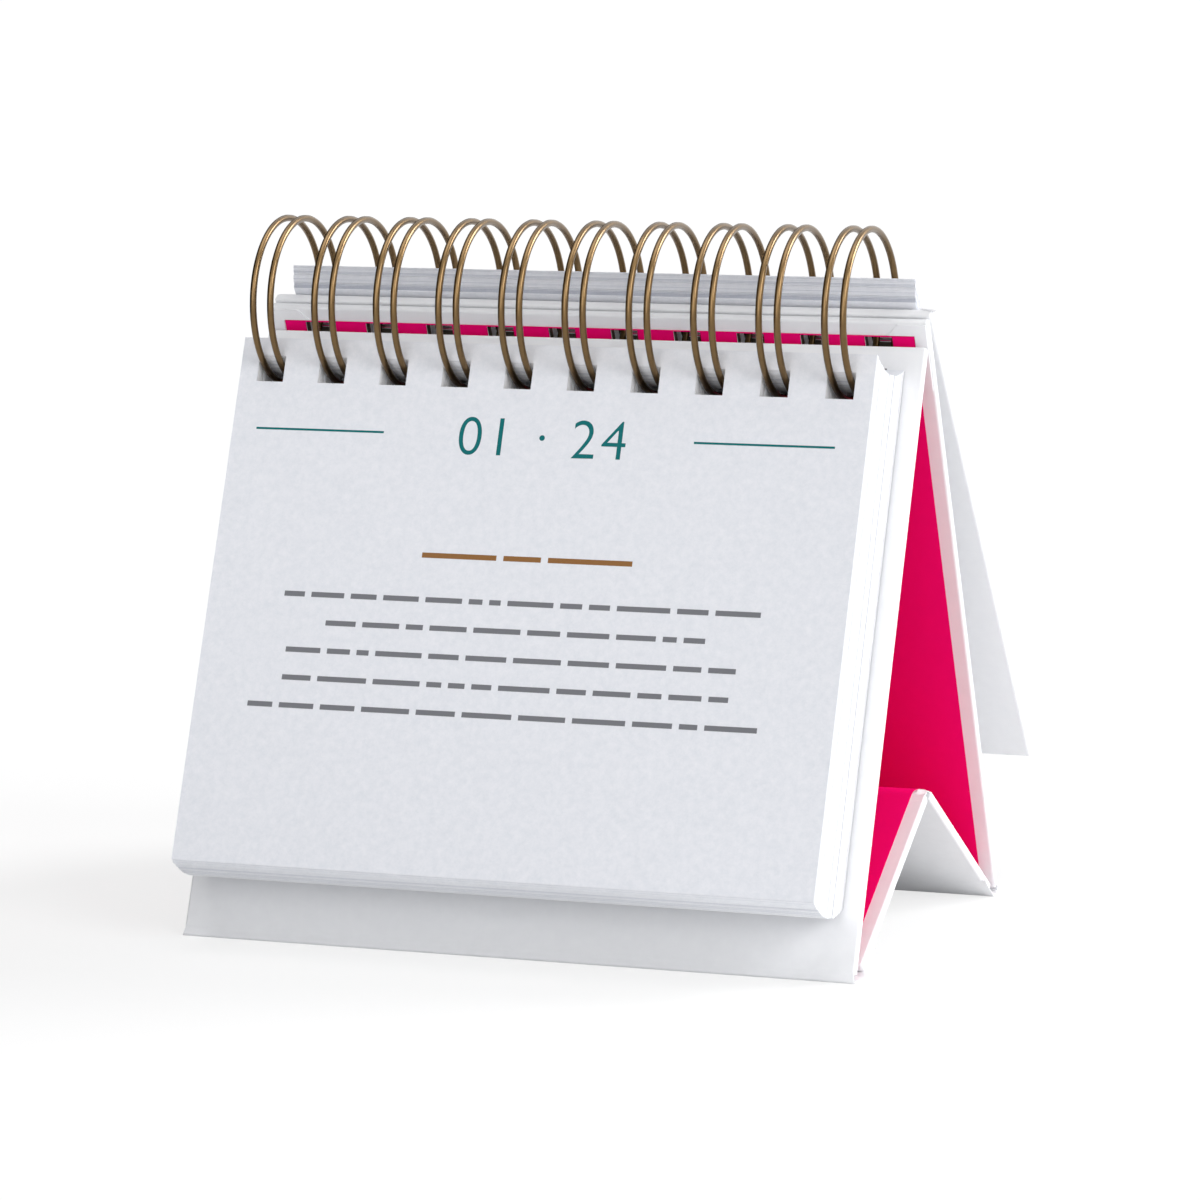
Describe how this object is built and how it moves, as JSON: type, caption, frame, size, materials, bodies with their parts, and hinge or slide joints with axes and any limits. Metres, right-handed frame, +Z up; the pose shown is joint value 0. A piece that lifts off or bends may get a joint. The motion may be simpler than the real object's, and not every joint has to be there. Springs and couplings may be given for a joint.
{
  "type": "perpetual calendar",
  "caption": "Hard-case desk calendar folded into a tent, with twin-loop wire binding, hinged boards, a gusset, leaves that flip over and a flipped front cover.",
  "frame": {"origin": "on the floor, under the middle of the calendar's bounding box", "axes": "+X to the right along the binding, +Y towards the back, +Z up"},
  "size_m": [0.134, 0.1254, 0.1348],
  "materials": {
    "greyboard": "matt",
    "cover_paper": "satin",
    "pink_liner": "matt",
    "page_paper": "matt",
    "bronze_wire": "satin"
  },
  "bodies": {
    "rear_stand": {"rear_board_greyboard": "greyboard", "rear_board_wrap": "cover_paper", "rear_board_liner": "pink_liner", "rear_foot_fold": "cover_paper", "twin_loop_wire": "bronze_wire"},
    "front_stand": {"front_board_greyboard": "greyboard", "front_board_wrap": "cover_paper", "front_board_liner": "pink_liner", "front_foot_fold": "cover_paper"},
    "gusset_front": {"gusset_front_greyboard": "greyboard", "gusset_front_wrap": "cover_paper", "gusset_front_liner": "pink_liner", "peak_fold": "pink_liner"},
    "gusset_rear": {"gusset_rear_greyboard": "greyboard", "gusset_rear_wrap": "cover_paper", "gusset_rear_liner": "pink_liner"},
    "page_pad": {"page_bundle_1": "page_paper", "page_bundle_2": "page_paper", "page_bundle_3": "page_paper", "page_bundle_4": "page_paper", "page_bundle_5": "page_paper", "page_bundle_6": "page_paper"},
    "today_leaf": {"today_leaf": "page_paper"},
    "front_cover": {"front_cover_greyboard": "greyboard", "front_cover_wrap": "cover_paper", "front_cover_liner": "pink_liner"},
    "turned_pages": {"turned_bundle_1": "page_paper", "turned_bundle_2": "page_paper", "turned_bundle_3": "page_paper"}
  },
  "joints": [
    {"name": "easel_fold", "type": "hinge", "parent": "rear_stand", "child": "front_stand", "pos_m": [0, -0.00528, 0.11119], "axis": [1, 0, 0], "range_deg": [0, 10]},
    {"name": "gusset_front_fold", "type": "hinge", "parent": "front_stand", "child": "gusset_front", "pos_m": [0, -0.04714, 0.0025], "axis": [1, 0, 0], "range_deg": [0, 14.3]},
    {"name": "gusset_rear_fold", "type": "hinge", "parent": "rear_stand", "child": "gusset_rear", "pos_m": [0, 0.03623, 0.0025], "axis": [1, 0, 0], "range_deg": [-14.3, 0]},
    {"name": "page_pad_turn", "type": "hinge", "parent": "rear_stand", "child": "page_pad", "pos_m": [0, -0.01616, 0.11838], "axis": [1, 0, 0], "range_deg": [-15, 0]},
    {"name": "today_leaf_turn", "type": "hinge", "parent": "page_pad", "child": "today_leaf", "pos_m": [0, -0.01616, 0.11838], "axis": [1, 0, 0], "range_deg": [-170, 0]},
    {"name": "front_cover_turn", "type": "hinge", "parent": "rear_stand", "child": "front_cover", "pos_m": [0, -0.01616, 0.11838], "axis": [1, 0, 0], "range_deg": [0, 35]},
    {"name": "turned_pages_turn", "type": "hinge", "parent": "front_cover", "child": "turned_pages", "pos_m": [0, -0.01616, 0.11838], "axis": [1, 0, 0], "range_deg": [0, 145]}
  ],
  "couplings": [
    {"joint": "gusset_front_fold", "follows": "easel_fold", "ratio": 1.42},
    {"joint": "gusset_rear_fold", "follows": "easel_fold", "ratio": -1.42}
  ]
}
